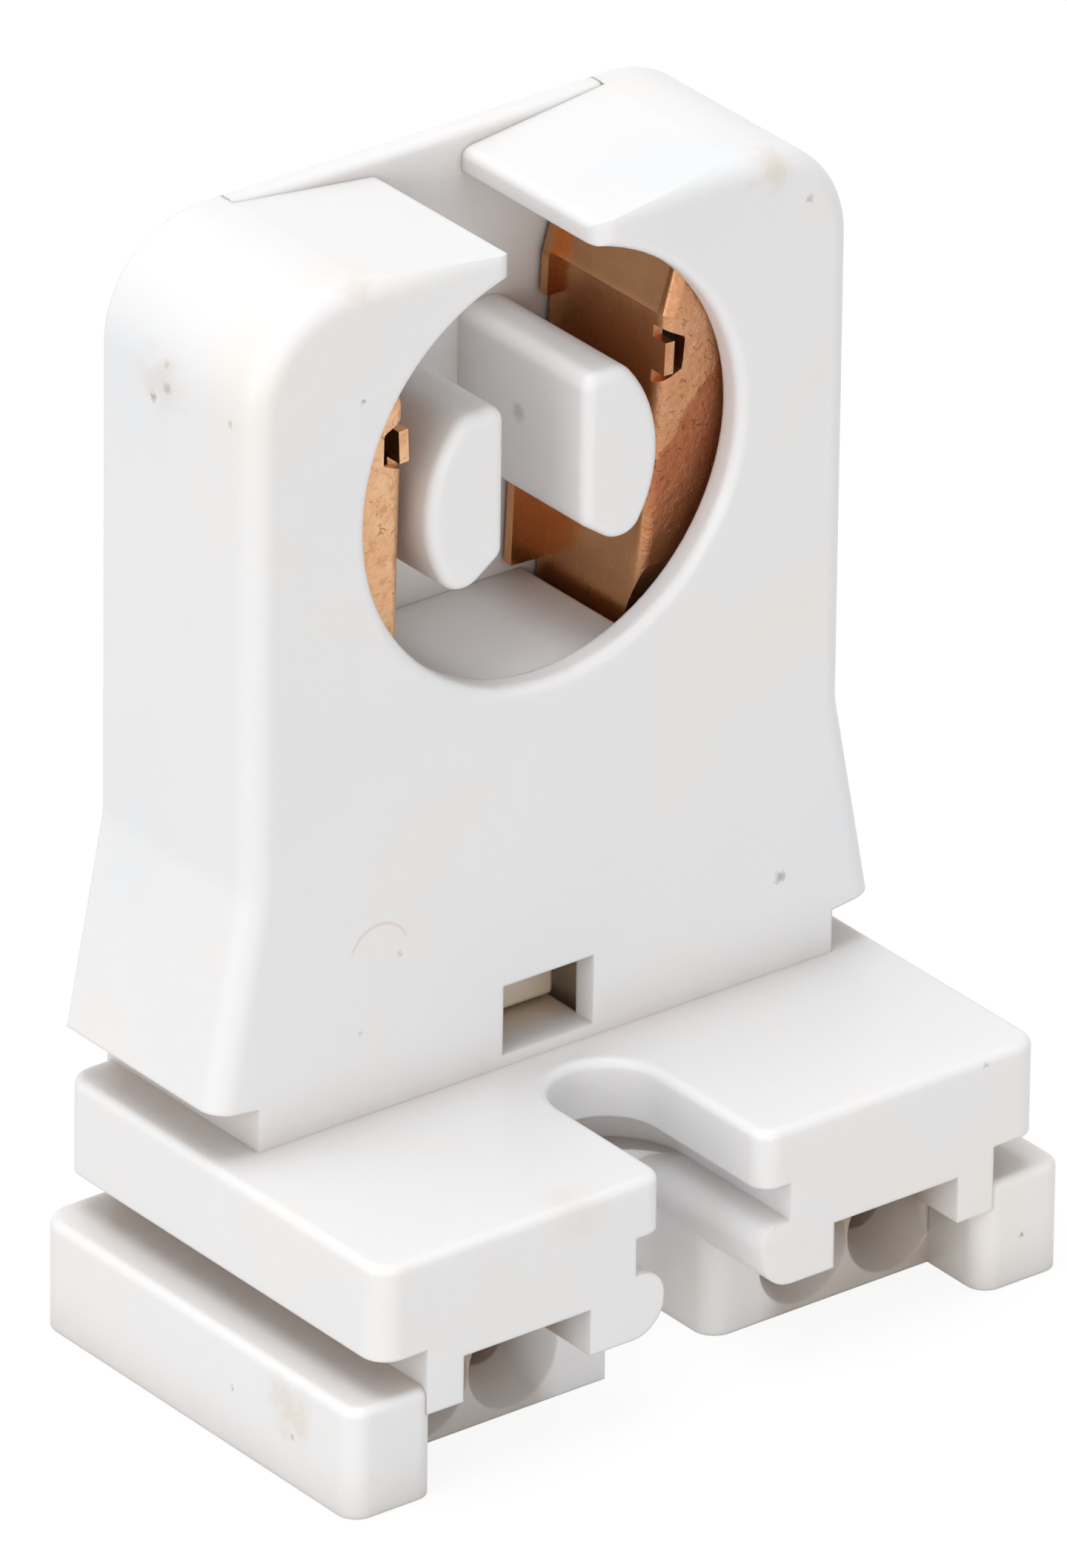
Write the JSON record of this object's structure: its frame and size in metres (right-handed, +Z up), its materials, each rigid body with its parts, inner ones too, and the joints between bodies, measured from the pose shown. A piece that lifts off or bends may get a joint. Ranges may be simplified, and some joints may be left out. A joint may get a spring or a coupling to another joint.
{
  "type": "fluorescent lamp holder",
  "caption": "Turn-in lamp holder for a bi-pin tube: slotted body with round opening, fixed posts, sprung strip contacts and a grooved slide-on base.",
  "frame": {"origin": "centre of the base's footprint, on the underside", "axes": "+Z up along the body, the lamp comes in from -Y, +X to the right seen from the lamp"},
  "size_m": [0.0316, 0.0184, 0.0419],
  "materials": {
    "white_plastic": "satin moulded white plastic",
    "contact_bronze": "rolled copper-coloured spring bronze"
  },
  "bodies": {
    "base": {"housing": "white_plastic", "rear_cover": "white_plastic"},
    "left_contact": {"contact_left": "contact_bronze"},
    "right_contact": {"contact_right": "contact_bronze"}
  },
  "joints": [
    {"name": "right_contact_flex", "type": "hinge", "parent": "base", "child": "right_contact", "pos_m": [0.00825, 0, 0.00265], "axis": [0, 1, 0], "range_deg": [0, 4], "stiffness_Nm_per_rad": 2},
    {"name": "left_contact_flex", "type": "hinge", "parent": "base", "child": "left_contact", "pos_m": [-0.00825, 0, 0.00265], "axis": [0, -1, 0], "range_deg": [0, 4], "stiffness_Nm_per_rad": 2}
  ]
}
